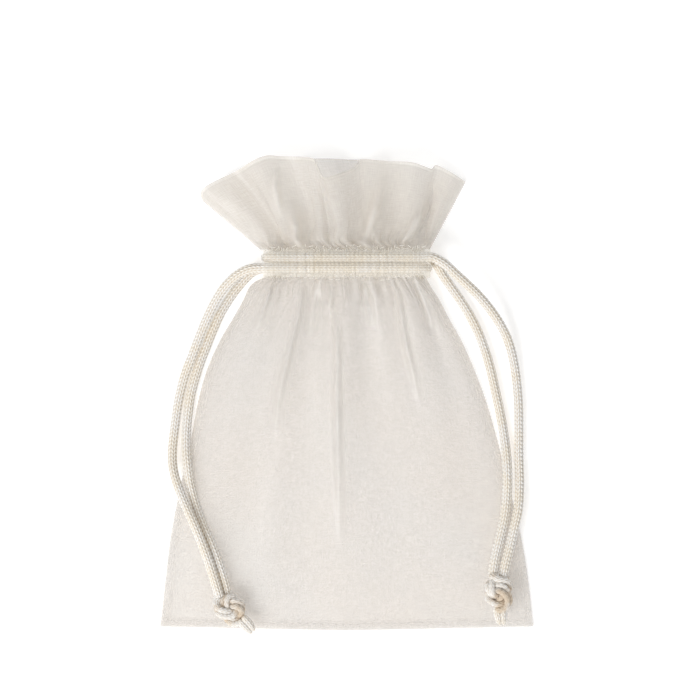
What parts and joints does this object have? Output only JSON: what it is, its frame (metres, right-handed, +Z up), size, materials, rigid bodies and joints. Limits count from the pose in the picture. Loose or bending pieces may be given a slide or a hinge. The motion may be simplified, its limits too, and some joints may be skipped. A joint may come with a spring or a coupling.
{
  "type": "drawstring gift pouch",
  "caption": "Sheer fabric gift pouch lying flat, its stitched casing gathered by opposed satin drawstrings with knotted tails, which slide apart to draw the neck shut.",
  "frame": {"origin": "under the middle of the pouch, on the surface that it lies on", "axes": "+X to the pouch's right, +Y from its bottom edge towards its mouth, +Z up, away from the surface and out of the front panel"},
  "size_m": [0.12, 0.1542, 0.0146],
  "materials": {
    "body_fabric": "sheer ivory organza",
    "header_fabric": "sheer ivory organza, doubled",
    "casing_fabric": "sheer ivory organza, doubled and gathered",
    "seam_fabric": "folded organza seam allowance",
    "thread": "polyester sewing thread",
    "cord": "knitted satin cord"
  },
  "bodies": {
    "pouch": {"front_panel": "body_fabric", "back_panel": "body_fabric", "left_side_seam": "seam_fabric", "right_side_seam": "seam_fabric", "bottom_seam": "seam_fabric", "left_seam_thread": "thread", "right_seam_thread": "thread", "bottom_seam_thread": "thread", "front_casing": "casing_fabric", "back_casing": "casing_fabric", "front_upper_stitches": "thread", "front_lower_stitches": "thread", "back_upper_stitches": "thread", "back_lower_stitches": "thread", "front_header": "header_fabric", "back_header": "header_fabric", "left_header_seam": "seam_fabric", "right_header_seam": "seam_fabric"},
    "left_neck_end": {"left_lower_tack": "thread", "left_upper_tack": "thread"},
    "right_neck_end": {"right_lower_tack": "thread", "right_upper_tack": "thread"},
    "left_drawstring": {"left_cord_front_run": "cord", "left_cord_back_run": "cord", "left_cord_turn": "cord", "left_cord_front_tail": "cord", "left_cord_back_tail": "cord", "left_knot": "cord", "left_cord_tips": "cord"},
    "right_drawstring": {"right_cord_front_run": "cord", "right_cord_back_run": "cord", "right_cord_turn": "cord", "right_cord_front_tail": "cord", "right_cord_back_tail": "cord", "right_knot": "cord", "right_cord_tips": "cord"}
  },
  "joints": [
    {"name": "left_cord_pull", "type": "slide", "parent": "pouch", "child": "left_drawstring", "axis": [-1, 0, 0], "range_m": [0, 0.01], "deforming": ["front_casing", "back_casing", "front_upper_stitches", "front_lower_stitches", "back_upper_stitches", "back_lower_stitches"]},
    {"name": "right_cord_pull", "type": "slide", "parent": "pouch", "child": "right_drawstring", "axis": [1, 0, 0], "range_m": [0, 0.01]},
    {"name": "left_neck_gather", "type": "slide", "parent": "pouch", "child": "left_neck_end", "axis": [1, 0, 0], "range_m": [0, 0.01]},
    {"name": "right_neck_gather", "type": "slide", "parent": "pouch", "child": "right_neck_end", "axis": [-1, 0, 0], "range_m": [0, 0.01]}
  ],
  "couplings": [
    {"joint": "right_cord_pull", "follows": "left_cord_pull", "ratio": 1},
    {"joint": "left_neck_gather", "follows": "left_cord_pull", "ratio": 1},
    {"joint": "right_neck_gather", "follows": "left_cord_pull", "ratio": 1}
  ]
}
